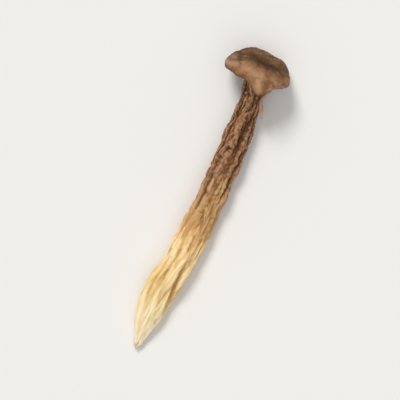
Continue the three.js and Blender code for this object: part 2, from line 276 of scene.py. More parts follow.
def mark_cover(points, marks, upper):
    """0 to 1 at each point. Marks lie on the side that faces up, where upper is 1."""
    moved = np.stack([noise_at(points, MARK_WAVES, seed) for seed in (31, 32)], -1)
    bent = points[..., :2] + MARK_BEND * moved
    cover = np.zeros(points.shape[:-1])
    for start, end, width, strength in marks:
        start, line = np.array(start), np.subtract(end, start) + SHORTEST_MARK
        share = np.clip(((bent - start) @ line) / (line @ line), 0, 1)
        away = np.linalg.norm(bent - start - share[..., None] * line, axis=-1)
        cover = np.maximum(cover, strength * hill(away / width))
    return cover * upper


STEM_STAINS = [  # orange-brown, from and to in mm, half width, strength
    ((0, 47), (2.5, 43), 1.4, 0.6),
    ((-1.5, 46), (1, 45.5), 1.1, 0.45),
    ((2.6, 42), (2.2, 35), 0.9, 0.55),
    ((2, 30), (1.8, 25), 0.6, 0.8),
    ((1.8, 25), (3, 18), 0.8, 0.9),
    ((-1.5, 21), (-1, 17), 0.5, 0.5),
    ((-4, 24), (-0.5, 20), 1.7, 0.25),
    ((1.2, 11), (0.7, 9), 0.4, 0.7),
    ((-5.2, 25), (-5.8, 18), 0.35, 0.6),
    ((3.8, 41), (3.4, 37), 0.6, 0.45),
    ((4, 33), (3.6, 35), 0.4, 0.5),
    ((-1.5, 37), (-1.2, 32), 0.6, 0.4),
    ((0, 65.5), (0.3, 65.8), 0.7, 0.6),
    ((3.6, 90.5), (3.4, 91), 0.7, 0.6),
]
STEM_SCARS = [  # dark
    ((-2.5, 60), (-0.5, 58.5), 0.6, 0.6),
    ((-2.8, 66), (-2.4, 56), 1.5, 0.35),
    ((-1.6, 76.4), (0.5, 77), 0.45, 1.0),
    ((-3, 77), (-2.8, 77.2), 0.5, 0.8),
    ((-2.6, 29), (-3, 25), 0.4, 0.45),
    ((-4.3, 87), (-4.2, 87.3), 0.7, 1.0),
    ((3.8, 90), (3.9, 90.2), 0.6, 0.9),
    ((3.8, 51.5), (3.6, 51), 0.4, 0.4),
    ((4.5, 66.5), (4.5, 66.7), 0.5, 0.7),
    ((4.8, 71.5), (4.9, 71.8), 0.5, 0.5),
    ((-4.4, 36), (-4.6, 34.2), 0.35, 0.5),
    ((-3.4, 33), (-3.3, 32.8), 0.3, 0.5),
]
print("marks on the stem:", len(STEM_STAINS) + len(STEM_SCARS))

# %% [markdown]
# ## A closed skin from a grid of points
# Stem, cap and strands are all made the same way: rows of points along, columns round, each end closed on
# its own middle. What the skin's material has to know, such as how deep a point lies, travels with the mesh
# as an attribute, a number or a vector at each point.

# %% Start a grid, close its skin and build its mesh
def shares_and_angles(rows, columns):
    """A share of the way along for each row and an angle round for each column, as two grids."""
    share, angle = np.linspace(0, 1, rows), np.linspace(0, TURN, columns, endpoint=False)
    return np.meshgrid(share, angle, indexing="ij")


def new_mesh(name, points, faces, attributes):
    mesh = bpy.data.meshes.new(name)
    mesh.from_pydata(in_frame(points).tolist(), [], faces)
    for key, values in attributes.items():
        kind, field = ("FLOAT", "value") if values.shape[1] == 1 else ("FLOAT_VECTOR", "vector")
        mesh.attributes.new(key, kind, "POINT").data.foreach_set(field, values.ravel())
    return mesh


def closed_skin(grid, attributes):
    """A grid's points and faces with both ends closed, and what is known at each point."""
    rows, columns, _ = grid.shape
    index = np.arange(rows * columns).reshape(rows, columns)
    beside = np.roll(index, -1, axis=1)
    quads = np.stack([index[:-1], index[1:], beside[1:], beside[:-1]], -1).reshape(-1, 4)
    start, end = rows * columns, rows * columns + 1
    first = [(start, a, b) for a, b in zip(index[0].tolist(), beside[0].tolist())]
    last = [(end, b, a) for a, b in zip(index[-1].tolist(), beside[-1].tolist())]

    def with_ends(values):
        values = np.array(values, float).reshape(rows, columns, -1)
        return np.vstack([values.reshape(rows * columns, -1), values[0].mean(0), values[-1].mean(0)])

    known = {key: with_ends(values) for key, values in attributes.items()}
    return with_ends(grid), quads.tolist() + first + last, known


def skin_mesh(name, grid, **attributes):
    mesh = new_mesh(name, *closed_skin(grid, attributes))
    mesh.shade_smooth()
    return mesh


# %% [markdown]
# ## The stem's fine skin
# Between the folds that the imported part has, the real skin carries a finer set: furrows that merge and part,
# hair-thin fibres, and patches of short wrinkles across the stem, where it bent as it dried. They are real
# relief in the mesh, because they show in the outline and catch the light from any side.

# %% The layers of the stem's fine relief
PATCHES = (3, 3, 6)  # mm, of wandering and of where the skin is wrinkled across
WANDER, WANDER_GAIN = 0.5, 0.9  # mm at the firm foot, and more where the skin is soft
# Depth in mm at the firm foot, its gain where the skin is soft, size in mm across and along the grain, seed
MERGING_FURROWS = (0.15, 0.25, (2.2, 2.2, 13), 1)
FINE_FURROWS = (0.16, 0.05, (0.9, 0.9, 8), 2)
FIBRES = (0.07, 0.0, (0.4, 0.4, 5), 3)
LUMPS = (0.16, 0.34, (2.2, 2.2, 3.2), 4)
KNOTS = (0.0, 0.26, (1.1, 1.1, 1.5), 7)
CROSS_WRINKLES = (0.05, 0.21, (3.0, 3.0, 1.2), 6)


def fine_stem_relief(t, grain):
    soft = smoothstep(t, FIRM_UP_TO, SOFT_FROM)
    bent = wandering(grain, PATCHES, (WANDER + WANDER_GAIN * soft)[..., None], 51)

    def layer(shape, places, depth, gain, size, seed):
        return (depth + gain * soft) * shape(places, size, seed)

    relief = layer(furrows, bent, *MERGING_FURROWS) + layer(furrows, bent, *FINE_FURROWS)
    relief += layer(noise_at, bent, *FIBRES)
    relief += layer(noise_at, grain, *LUMPS)
    relief += layer(noise_at, grain, *KNOTS)
    patchy = smoothstep(noise_at(grain, PATCHES, 5), -0.3, 0.3)
    return relief + patchy * layer(furrows, bent, *CROSS_WRINKLES)


# %% The stem's grid and its whole relief
STEM_ROWS, STEM_COLUMNS = 380, 240
GRAIN_RADIUS = 5.0  # mm, of the straight, untwisted rod that the grain is read on
t, angle = shares_and_angles(STEM_ROWS, STEM_COLUMNS)
angle -= STEM_TWIST * t
grain = round_rod(GRAIN_RADIUS, angle + STEM_TWIST * t, STEM_LENGTH * t)
relief = stem_relief(t, angle) + fine_stem_relief(t, grain)
print("stem relief, mm:", round(relief.min(), 2), "to", round(relief.max(), 2))

# %% The stem's marks, and how deep each point lies
SCAR_DEPTH = 0.4  # mm
SMOOTHINGS = 3
facing_up = smoothstep(np.sin(angle), 0.0, 0.25)
places = stem_point(t, angle, relief)
stain = mark_cover(places, STEM_STAINS, facing_up)
scar = mark_cover(places, STEM_SCARS, facing_up)
relief -= SCAR_DEPTH * scar


def local_depth(relief, reach):
    """How much lower than its surroundings each point lies, on a grid whose columns go round."""
    around = relief
    for _ in range(SMOOTHINGS):
        around = sum(np.roll(around, step, axis=1) for step in range(-reach, reach + 1)) / (2 * reach + 1)
    return around - relief


depth = local_depth(relief, 9) + 0.35 * local_depth(relief, 24)
hollow = smoothstep(depth, -0.45, 0.9)
print("deepest hollow, mm:", round(depth.max(), 2))

# %% The stem's mesh
stem_mesh = skin_mesh(
    "stem_skin", stem_point(t, angle, relief), along=t, grain=grain, hollow=hollow, stain=stain, scar=scar
)
print("stem triangles:", 2 * len(stem_mesh.polygons))

# %% [markdown]
# ## The cap
# A young cap is a smooth dome. Dried, it is a leathery button: the margin rolls under and gets wavy, the
# crown sinks in a crease and the skin puckers towards the margin. The section runs from the crown over the
# margin and back underneath, and lobes, dents and warps change it round the cap.

# %% The cap's place and section
CAP_RADIUS = 12.2
CAP_TILT, CAP_TURN = np.radians(37), np.radians(3)
CAP_CENTRE = np.array([-2.2, 107.8, 11.5])
# Share of the radius and height along the cap's axis, from the crown over the margin and back under it
CAP_SECTION = [
    (0.0, 3.3),
    (0.28, 3.1),
    (0.55, 2.2),
    (0.8, 0.5),
    (0.96, -1.5),
    (1.0, -2.7),
    (0.94, -3.7),
    (0.86, -2.6),
    (0.72, -0.4),
    (0.4, 0.6),
    (0.05, -0.5),
]
UPPER_SHARE = 0.5  # the share of the section that is upper skin
cap_section = smooth_curve(CAP_SECTION)
cap_axis = np.array(
    [-np.sin(CAP_TURN) * np.cos(CAP_TILT), np.cos(CAP_TURN) * np.cos(CAP_TILT), np.sin(CAP_TILT)]
)
cap_right = np.array([np.cos(CAP_TURN), np.sin(CAP_TURN), 0])
cap_far = np.cross(cap_axis, cap_right)  # towards the margin on the surface

# %% The cap's waves, dents, crease and puckers
MARGIN_DENTS = [  # angle, depth, lift, half width
    (184, -0.3, -1.7, 24),
    (216, 1.5, 0.9, 20),
    (250, 2.2, 2.2, 26),
    (285, -0.8, -0.3, 12),
    (311, 1.4, 1.2, 25),
]
LOBES = [(4, 0.025, 4.4), (6, 0.015, 2.2)]
WARPS = [(3, 0.4, 1, 2.6), (2, 0.4, 2, 1.6), (5, 0.45, 3, -1.9)]  # count, size, power, phase
CREASE_RIGHT, CREASE_FAR = 2.0, -0.4
CREASE_DEPTH, CREASE_WIDTH, CREASE_LENGTH, CREASE_BOW = 1.5, 1.7, 6.5, 0.03
PUCKER_COUNT, PUCKER_DEPTH, PUCKER_WANDER = 11, 0.35, 0.8
DENT_START = 0.15  # share of the radius where dents begin


def dent_sum(which, out, angle):
    """The sum of the margin's dents at an angle: of their depth with 1, of their lift with 2."""
    total = sum(dent[which] * hill_round(angle, dent[0], dent[3]) for dent in MARGIN_DENTS)
    return smoothstep(out, DENT_START, 1) * total


def cap_radius(out, angle):
    return out * (CAP_RADIUS * (1 + wave_sum(LOBES, angle)) - dent_sum(1, out, angle))


def cap_lift(out, angle):
    warp = sum(size * out**power * np.sin(count * angle + phase) for count, size, power, phase in WARPS)
    return warp + dent_sum(2, out, angle)


def crown_relief(out, angle):
    right = CAP_RADIUS * out * np.cos(angle) - CREASE_RIGHT
    far = CAP_RADIUS * out * np.sin(angle) - CREASE_FAR
    crease = hill((far + CREASE_BOW * right**2) / CREASE_WIDTH) * hill(right / CREASE_LENGTH)
    pucker = np.abs(np.sin(PUCKER_COUNT * angle / 2 + PUCKER_WANDER * np.sin(2 * angle))) - MEAN_RIDGE
    return PUCKER_DEPTH * out * pucker - CREASE_DEPTH * crease


def on_cap(radius, angle, height):
    """Points at places in the cap's own axes."""
    to_right = (radius * np.cos(angle))[..., None] * cap_right
    to_far = (radius * np.sin(angle))[..., None] * cap_far
    return CAP_CENTRE + (to_right + to_far) + np.asarray(height)[..., None] * cap_axis


# %% [markdown]
# ## The cap's fine skin
# Fine wrinkles run inwards from the margin, where the skin shrank most, and a soft unevenness covers the
# crown. The part that looks straight up in the photograph is nearly smooth and paler, so the wrinkles fade
# there. Pale and pinkish patches, and the painted shade over the crease and the far side, are marks, as on the
# stem.

# %% The cap's marks
PALE_PATCHES = [
    ((-6, 105), (-0.5, 104.4), 1.6, 0.7),
    ((-13.5, 104.8), (-10.5, 105), 1.1, 0.7),
    ((-0.5, 102.5), (0.8, 99.4), 1.4, 0.9),
    ((-8, 106.5), (-7.2, 104), 0.8, 0.5),
    ((3, 105.3), (5.5, 104.4), 1.0, 0.35),
    ((7, 105.5), (8.6, 108), 1.1, 0.4),
]
# Pinkish rim and left end, partly the skin's own colour and partly a painted highlight on the rolled edge
ROSY_PATCHES = [
    ((4.4, 101.4), (9, 104.6), 0.6, 0.9),
    ((9.2, 105.4), (9.6, 107.5), 0.6, 0.6),
    ((-12.5, 107.2), (-11.5, 107.4), 0.9, 0.5),
    ((-14, 105), (-13, 104.2), 0.8, 0.6),
]
# Painted shade: darker patches over the crease and the far side of the crown
CROWN_SHADE_PATCHES = [
    ((-6.5, 110.1), (-3.5, 109.7), 1.6, 0.9),
    ((-3, 109.1), (2.8, 108.7), 1.6, 0.95),
    ((3, 109), (5, 109.6), 1.0, 0.55),
    ((-1.5, 110.6), (2, 110.2), 0.9, 0.45),
    ((-9.5, 111), (-7, 110.4), 0.9, 0.5),
    ((-10.4, 107.9), (-9.8, 108.2), 1.0, 0.75),
    ((-13, 109.2), (-11, 110.4), 1.1, 0.6),
    ((4.5, 111), (6.5, 109.8), 1.0, 0.35),
    ((2.6, 106.6), (6.5, 107.2), 0.9, 0.35),
]

# %% The cap's grid
CAP_ROWS, CAP_COLUMNS = 190, 360
share, cap_angle = shares_and_angles(CAP_ROWS, CAP_COLUMNS)
out, up = np.moveaxis(cap_section(share), -1, 0)
upper = 1 - smoothstep(share, UPPER_SHARE - 0.12, UPPER_SHARE)
radius = cap_radius(out, cap_angle)
cap_grain = round_rod(radius, cap_angle, up)
print("points on the cap:", radius.size)

# %% The cap's fine relief
SPOKE_RADIUS, SPOKE_STRETCH = 6, 2.4  # the rod on which wrinkles that run inwards are read
SPOKE_DEPTH, SPOKE_SIZE = 0.3, 1.4  # mm
FOLD_DEPTH, FOLD_SIZE = 0.12, 2.6
CAP_LUMPS = [(0.4, 3.6, 15), (0.12, 1.2, 13), (0.04, 0.5, 14)]  # depth and size in mm, seed
SMOOTH_CUT = 0.7  # how much of the relief is missing where the cap is smooth
UNDER_LEFT = 0.35  # how much of it is left underneath
smooth_here = hill((cap_grain[..., 0] + 1) / 5) * hill((cap_grain[..., 1] + 6.5) / 3.4)
bent = wandering(cap_grain, 3.5, 1.6, 61)
spokes = round_rod(SPOKE_RADIUS, cap_angle, radius / SPOKE_STRETCH) + 0.35 * (bent - cap_grain)
fine = SPOKE_DEPTH * out**2 * furrows(spokes, SPOKE_SIZE, 11) + FOLD_DEPTH * furrows(bent, FOLD_SIZE, 12)
fine += sum(depth * noise_at(cap_grain, size, seed) for depth, size, seed in CAP_LUMPS)
on_top = smoothstep(UPPER_SHARE + 0.1 - share, 0, 0.1)
fine *= (1 - SMOOTH_CUT * smooth_here) * (UNDER_LEFT + (1 - UNDER_LEFT) * on_top)
print("fine relief of the cap, mm:", round(fine.min(), 2), "to", round(fine.max(), 2))

# %% The cap's mesh, with its marks
main = upper * crown_relief(out, cap_angle)
cap_places = on_cap(radius, cap_angle, up + cap_lift(out, cap_angle) + main + fine)
looks_up = 1 - smoothstep(share, UPPER_SHARE + 0.01, UPPER_SHARE + 0.07)
marks = {"pale": PALE_PATCHES, "rosy": ROSY_PATCHES, "scar": CROWN_SHADE_PATCHES}
covers = {key: mark_cover(cap_places, patches, looks_up) for key, patches in marks.items()}
cap_hollow = smoothstep(local_depth(fine + 0.4 * main, 10), -0.25, 0.6)
cap_mesh = skin_mesh("cap_skin", cap_places, share=share, grain=cap_grain, hollow=cap_hollow, **covers)
print("cap triangles:", 2 * len(cap_mesh.polygons))

# %% [markdown]
# ## The gills
# Thin blades hang under the cap, from the stem to the rolled margin. Between two long ones stand shorter ones
# that start further out. One blade is a small grid of points with a front and a back, bent a little sideways
# by noise, because dried gills buckle. All blades go into one mesh.

# %% One gill
GILL_DEPTH, GILL_ROOT, GILL_OUTER = 2.2, 0.9, 0.86
GILL_THICKNESS, GILL_THINNING = 0.26, 0.6  # mm at the root, and the share that is gone at the edge
GILL_ARCH_START, GILL_ARCH_POWER = 0.2, 0.7
GILL_BUCKLE, GILL_BUCKLE_SIZE = 0.3, 1.5  # mm
GILL_STEPS, GILL_LEVELS = 14, 4
UNDERSIDE = CAP_SECTION[:5:-1]  # the section's places under the margin, from the stem outwards


def underside_height(out, angle):
    outs, ups = np.array(UNDERSIDE).T
    return np.interp(out, outs, ups) + cap_lift(out, angle)


def gill_grid(angle, inner):
    """One blade's points, along it and from its root to its edge, on its middle plane."""
    step = np.linspace(0, 1, GILL_STEPS)[:, None]
    level = np.linspace(0, 1, GILL_LEVELS)[None, :]
    out = inner + (GILL_OUTER - inner) * step
    arch = np.sin(np.pi * (GILL_ARCH_START + (1 - GILL_ARCH_START) * step)) ** GILL_ARCH_POWER
    place = np.full((1, 1), angle)
    flesh = underside_height(out, place)
    height = flesh + GILL_ROOT - level * (GILL_ROOT + GILL_DEPTH * arch)
    radius = cap_radius(out, place) + 0 * level
    middle = on_cap(radius, place + 0 * radius, height)
    buckle = GILL_BUCKLE * level * noise_at(middle, GILL_BUCKLE_SIZE, 21)
    sideways = -np.sin(angle) * cap_right + np.cos(angle) * cap_far
    return middle + buckle[..., None] * sideways, sideways, level + 0 * step


# %% All the gills
GILL_SETS = [(64, 0.22, 0.0), (64, 0.5, 0.5), (128, 0.66, 0.25)]  # count, where they start, offset in gaps


def all_gills():
    points, faces, edge = [], [], []
    grid = np.arange(GILL_STEPS * GILL_LEVELS).reshape(GILL_STEPS, GILL_LEVELS)
    rim = np.concatenate([grid[0], grid[1:, -1], grid[-1, -2::-1], grid[-2:0:-1, 0]])
    front = np.stack([grid[:-1, :-1], grid[:-1, 1:], grid[1:, 1:], grid[1:, :-1]], -1).reshape(-1, 4)
    for count, inner, offset in GILL_SETS:
        for i in range(count):
            middle, sideways, level = gill_grid(TURN * (i + offset) / count, inner)
            first = len(points) * grid.size
            aside = (1 - GILL_THINNING * level[..., None]) * GILL_THICKNESS / 2 * sideways
            points += [(middle + aside).reshape(-1, 3), (middle - aside).reshape(-1, 3)]
            edge += [level.ravel(), level.ravel()]
            back = first + grid.size
            sides = np.stack([first + rim, first + np.roll(rim, -1), back + np.roll(rim, -1), back + rim], -1)
            faces.append(np.concatenate([first + front, back + front[:, ::-1], sides[:, ::-1]]))
    edge = np.concatenate(edge)[:, None]
    return new_mesh("gill_blades", np.vstack(points), np.vstack(faces).tolist(), {"edge": edge})


gill_mesh = all_gills()
print("gills:", sum(count for count, _, _ in GILL_SETS), "triangles:", 2 * len(gill_mesh.polygons))

# %% [markdown]
# ## Torn strands
# Where the mushroom was torn, it left strands: two splinters and many fine fibres at the foot, a ribbon of
# skin that still joins the margin to the neck, and a few slivers that lift off the stem. Each is a closed
# tube along a curve, round or flat, that gets wider and narrower on its way and has edges ragged by noise.

# %% One strand
THINNEST = 0.05  # mm
RAGGED_SIZE, FINE_RAGGED_SIZE = (0.7, 0.7, 0.9), 0.25
RAGGED_STRETCH = 9  # how far along the noise a strand reaches from end to end


def strand_grid(path, widths, flat, ragged, rows=40, columns=14):
    """A strand's points. It has a width at each place of its path, and is flat times as thick."""
    curve, width_at = smooth_curve(path), smooth_curve([[width] for width in widths])
    share, angle = shares_and_angles(rows, columns)
    _, right, up = frame_along(curve, share)
    places = round_rod(1, angle, RAGGED_STRETCH * share) + curve(share[:1, :1])
    rough = noise_at(places, RAGGED_SIZE, 41) + 0.5 * noise_at(places, FINE_RAGGED_SIZE, 42)
    half = (1 + ragged * rough) * np.maximum(width_at(share)[..., 0], THINNEST) / 2
    across = (half * np.cos(angle))[..., None] * right
    upward = (flat * half * np.sin(angle))[..., None] * up
    return curve(share) + across + upward, share


def joined(name, grids):
    """One mesh of several strands, each with the share of the way along it at its points."""
    points, faces, shares, made = [], [], [], 0
    for grid, share in grids:
        strand_points, strand_faces, known = closed_skin(grid, {"share": share})
        points.append(strand_points)
        faces += [[made + i for i in face] for face in strand_faces]
        shares.append(known["share"])
        made += len(strand_points)
    mesh = new_mesh(name, np.vstack(points), faces, {"share": np.vstack(shares)})
    mesh.shade_smooth()
    return mesh


# %% The splinters and fibres of the foot
SPLINTERS = [
    ([[-1.9, 3.0, 2.0], [-2.1, 0.4, 1.9], [-2.5, -1.1, 1.5]], (1.1, 1.0, 0.4)),
    ([[-1.3, 3.0, 1.9], [-1.2, 0.0, 1.9], [-1.4, -1.9, 2.2]], (1.0, 0.9, 0.3)),
]
FIBRE_COUNT = 34
rng = np.random.default_rng(7)
foot_grids = [strand_grid(path, widths, 0.75, 0.35) for path, widths in SPLINTERS]
for i in range(FIBRE_COUNT):
    around = rng.uniform(0, TURN)
    reach = rng.uniform(0.2, 0.85)
    start = np.array([-1.7 + reach * np.cos(around), 2.2, 1.9 + 0.6 * reach * np.sin(around)])
    end = start + [rng.uniform(-0.6, 0.6), -rng.uniform(2.0, 3.9), rng.uniform(-0.3, 0.5)]
    bend = (start + end) / 2 + [rng.uniform(-0.25, 0.25), 0, rng.uniform(-0.2, 0.2)]
    size = rng.uniform(0.14, 0.34)
    foot_grids.append(strand_grid([start, bend, end], (size, size, 0.3 * size), 1.0, 0.3, rows=12, columns=6))
foot_mesh = joined("foot_fibres", foot_grids)
print("foot strands:", len(foot_grids))

# %% The ribbon between margin and neck
STRIP = [
    [4.7, 103.6, 17.1],
    [4.6, 101.3, 15.2],
    [3.6, 98.9, 12.2],
    [3.1, 96.9, 9.4],
    [4.2, 94.3, 8.3],
    [5.9, 91.2, 8.1],
]
FRINGE = STRIP[:4] + [[3.8, 95.0, 8.6], [4.6, 92.8, 8.6]]  # a narrower ribbon that lies on its inner edge
STRIP_WIDTHS = (1.0, 0.85, 0.7, 1.0, 1.5, 0.4)
FRINGE_WIDTHS = (0.5, 0.5, 0.5, 0.6, 0.7, 0.2)
strip_grids = [
    strand_grid(STRIP, STRIP_WIDTHS, 0.3, 0.6, rows=120, columns=24),
    strand_grid(FRINGE, FRINGE_WIDTHS, 0.5, 0.6, rows=90, columns=16),
]
strip_mesh = joined("torn_strip", strip_grids)
print("ribbon triangles:", 2 * len(strip_mesh.polygons))

# %% The slivers that lift off the stem
SLIVERS = [  # share of the length and angle at three places, lift in the middle, width
    ((0.875, 166), (0.85, 172), (0.82, 175), 0.35, 0.45),
    ((0.865, 156), (0.845, 162), (0.828, 168), 0.3, 0.35),
    ((0.2, 25), (0.24, 36), (0.28, 48), 0.35, 0.4),
    ((0.44, 60), (0.47, 75), (0.5, 92), 0.3, 0.6),
    ((0.68, 140), (0.7, 142), (0.73, 141), 0.3, 0.35),
    ((0.55, 300), (0.6, 292), (0.66, 290), 0.4, 0.4),
    ((0.3, 240), (0.36, 246), (0.42, 250), 0.4, 0.4),
]
SLIVER_TAPER = (0.6, 1.0, 0.3)
SLIVER_SUNK = -0.4  # mm, where its ends are rooted in the skin


def skin_place(t, degrees, lift):
    t, angle = np.array(float(t)), np.radians(degrees)
    return stem_point(t, angle, stem_relief(t, angle) + lift)


sliver_grids = []
for first, second, third, lift, width in SLIVERS:
    path = [skin_place(*first, SLIVER_SUNK), skin_place(*second, lift), skin_place(*third, SLIVER_SUNK)]
    widths = [share * width for share in SLIVER_TAPER]
    sliver_grids.append(strand_grid(path, widths, 0.5, 0.3, rows=30, columns=8))
# One more hangs from the margin down to the neck
THREAD = [[-3.0, 101.9, 18.6], [-2.9, 100.3, 16.4], [-2.0, 99.2, 14.2], skin_place(0.918, 100, -0.2)]
sliver_grids.append(strand_grid(THREAD, (0.7, 0.5, 0.45, 0.3), 0.6, 0.5, rows=60, columns=10))
sliver_mesh = joined("skin_slivers", sliver_grids)
print("slivers:", len(sliver_grids))

# %% [markdown]
# ## Nodes in one line
# A material is a tree of nodes. This helper adds one node, sets its options and fills its inputs, with a link
# where it is given another node's socket. Colours are written as the 0 to 255 numbers that a paint picker
# shows, and turned into the light values that Blender works with.

# %% Add a node, and name a colour
def add(tree, kind, inputs=None, **options):
    node = tree.nodes.new(kind)
    for option, value in options.items():
        setattr(node, option, value)
    for key, value in (inputs or {}).items():
        if isinstance(value, bpy.types.NodeSocket):
            tree.links.new(value, node.inputs[key])
        else:
            node.inputs[key].default_value = value
    return node


def paint(red, green, blue):
    levels = np.array([red, green, blue]) / 255
    light = np.where(levels <= 0.04045, levels / 12.92, ((levels + 0.055) / 1.055) ** 2.4)
    return (*light.tolist(), 1.0)


def ramp(tree, factor, stops):
    """Colours along a factor from 0 to 1. A stop is its place, red, green and blue."""
    node = add(tree, "ShaderNodeValToRGB", {"Fac": factor})
    elements = node.color_ramp.elements
    while len(elements) < len(stops):
        elements.new(1.0)
    for element, (place, *colour) in zip(elements, stops):
        element.position = place
        element.color = paint(*colour)
    return node.outputs["Color"]


def mixed(tree, factor, first, second):
    """A mix of two colours, whose sockets are a Mix node's sixth and seventh, counted from zero."""
    return add(tree, "ShaderNodeMix", {0: factor, 6: first, 7: second}, data_type="RGBA").outputs[2]


def tinted(tree, colour, mask, strength, tint):
    """The colour with a tint over it, as strong as the mask times the strength."""
    return mixed(tree, maths(tree, "MULTIPLY", mask, strength), colour, tint)


def maths(tree, operation, first, second):
    return add(tree, "ShaderNodeMath", {0: first, 1: second}, operation=operation).outputs[0]


def swing(tree, value, reach):
    """A value around a half, turned into one around zero and made this many times as large."""
    return maths(tree, "MULTIPLY", maths(tree, "SUBTRACT", value, 0.5), reach)


def remapped(tree, value, low, high, first=0.0, last=1.0):
    keys = {"Value": value, "From Min": low, "From Max": high, "To Min": first, "To Max": last}
    return add(tree, "ShaderNodeMapRange", keys, interpolation_type="SMOOTHSTEP").outputs["Result"]


def attribute(tree, name, output="Fac"):
    return add(tree, "ShaderNodeAttribute", attribute_name=name).outputs[output]


def noise_texture(tree, place, scale, detail, roughness=0.5):
    inputs = {"Vector": place, "Scale": scale, "Detail": detail, "Roughness": roughness}
    return add(tree, "ShaderNodeTexNoise", inputs).outputs["Fac"]


# %% [markdown]
# ## Fibre streaks, a shared effect
# Mushroom flesh is bundles of fine threads, so stain and shine change quickly across it and slowly along it.
# The group reads noise with one axis stretched. It is built once and used by the skins with different widths.

# %% The group for fibre streaks
def new_group(name, inputs, outputs):
    """A shader node group with named sockets; its inputs' and outputs' nodes come back with it."""
    group = bpy.data.node_groups.new(name, "ShaderNodeTree")
    for key, kind, value in inputs:
        socket = group.interface.new_socket(key, in_out="INPUT", socket_type=kind)
        if value is not None:
            socket.default_value = value
    for key, kind in outputs:
        group.interface.new_socket(key, in_out="OUTPUT", socket_type=kind)
    return group, group.nodes.new("NodeGroupInput").outputs, group.nodes.new("NodeGroupOutput")


FLOAT, VECTOR, COLOUR = "NodeSocketFloat", "NodeSocketVector", "NodeSocketColor"
streak_group, given, result = new_group(
    "fibre_streaks",
    [("Grain", VECTOR, None), ("Width", FLOAT, 0.6), ("Stretch", FLOAT, 12.0), ("Detail", FLOAT, 3.0)],
    [("Streaks", FLOAT)],
)
across = maths(streak_group, "DIVIDE", 1.0, given["Width"])
lengthwise = maths(streak_group, "DIVIDE", across, given["Stretch"])
scale = add(streak_group, "ShaderNodeCombineXYZ", {"X": across, "Y": across, "Z": lengthwise}).outputs[0]
place = add(streak_group, "ShaderNodeVectorMath", {0: given["Grain"], 1: scale}, operation="MULTIPLY")
inputs = {"Vector": place.outputs[0], "Scale": 1.0, "Detail": given["Detail"], "Roughness": 0.6}
threads = add(streak_group, "ShaderNodeTexNoise", {**inputs, "Distortion": 0.3}).outputs["Fac"]
spread = remapped(streak_group, threads, 0.3, 0.7)
streak_group.links.new(spread, result.inputs["Streaks"])


def placed(tree, group, *values):
    """A group's node, with the values on its inputs in their order; its one output comes back."""
    return add(tree, "ShaderNodeGroup", dict(enumerate(values)), node_tree=group).outputs[0]


def streaks(tree, grain, width, stretch, detail=3.0):
    return placed(tree, streak_group, grain, width, stretch, detail)


# %% [markdown]
# ## Painted shade in furrows and painted highlights on crests, a shared effect
# Deep points are painted darker, as the shade that falls in furrows, and crests are painted paler, as a
# highlight. The group mixes a furrow's and a crest's colour into the skin by how deep a point lies.

# %% The group for painted furrow shade and crest highlights
relief_group, given, result = new_group(
    "furrow_shade_and_crest_highlight",
    [("Skin", COLOUR, None), ("Furrow", COLOUR, None), ("Crest", COLOUR, None), ("Hollow", FLOAT, 0.5)],
    [("Colour", COLOUR)],
)
# Painted shade where a point lies deep, and a painted highlight where it stands on a crest
deep = remapped(relief_group, given["Hollow"], 0.42, 0.92)
crest_highlight = remapped(relief_group, given["Hollow"], 0.32, 0.1)
shaded = mixed(relief_group, deep, given["Skin"], given["Furrow"])
highlighted_crests = mixed(relief_group, crest_highlight, shaded, given["Crest"])
relief_group.links.new(highlighted_crests, result.inputs["Colour"])


def furrow_shade_and_crest_highlight(tree, skin, furrow_shade, crest_highlight, hollow):
    return placed(tree, relief_group, skin, furrow_shade, crest_highlight, hollow)


# %% [markdown]
# ## Specks, a shared effect
# Old skin has small brown spots. The group draws a soft spot in each cell of a cell pattern. Noise bends
# their outlines and leaves most cells empty, so that they gather here and are missing there.

# %% The group for specks
speck_group, given, result = new_group(
    "dried_specks",
    [("Place", VECTOR, None), ("Spacing", FLOAT, 1.0), ("Crowding", FLOAT, 0.5)],
    [("Specks", FLOAT)],
)
per_mm = maths(speck_group, "DIVIDE", 1.0, given["Spacing"])
ripple = add(speck_group, "ShaderNodeTexNoise", {"Vector": given["Place"], "Scale": 1.3, "Detail": 3.0})
inputs = {0: ripple.outputs["Color"], 1: given["Place"]}
shifted = add(speck_group, "ShaderNodeVectorMath", inputs, operation="ADD").outputs[0]
inputs = {"Vector": shifted, "Scale": per_mm, "Randomness": 1.0}
cells = add(speck_group, "ShaderNodeTexVoronoi", inputs).outputs["Distance"]
clouds = noise_texture(speck_group, given["Place"], 0.6, 3.0)
size = maths(speck_group, "MULTIPLY", clouds, given["Crowding"])
inside = maths(speck_group, "SUBTRACT", size, cells)
dots = remapped(speck_group, inside, -0.1, 0.15)
speck_group.links.new(dots, result.inputs["Specks"])


def specks(tree, place, spacing, crowding):
    return placed(tree, speck_group, place, spacing, crowding)


# %% [markdown]
# ## A skin material
# Every skin ends the same way: a colour, a roughness and a height that bends the light go into the shader
# that a new material already holds.

# %% Finish a material, and start one
def finished(material, colour, roughness, height, strength, height_in_mm):
    tree = material.node_tree
    shader = tree.nodes["Principled BSDF"]
    inputs = {"Height": height, "Strength": strength, "Distance": height_in_mm / 1000}
    bumped = add(tree, "ShaderNodeBump", inputs)
    tree.links.new(colour, shader.inputs["Base Color"])
    tree.links.new(roughness, shader.inputs["Roughness"])
    tree.links.new(bumped.outputs["Normal"], shader.inputs["Normal"])
    shader.inputs["Specular IOR Level"].default_value = 0.25
    return material


def new_material(name):
    material = bpy.data.materials.new(name)
    material.use_nodes = True
    return material, material.node_tree


# %% [markdown]
# ## The stem's skin
# The foot, which grew in the dark inside the clump, is cream. Halfway up it turns to gold and tan, and the
# neck is a dark brown. The change isn't a clean line: each fibre changes at its own place, so streaks are
# added to the share of the way along before it picks the colour.

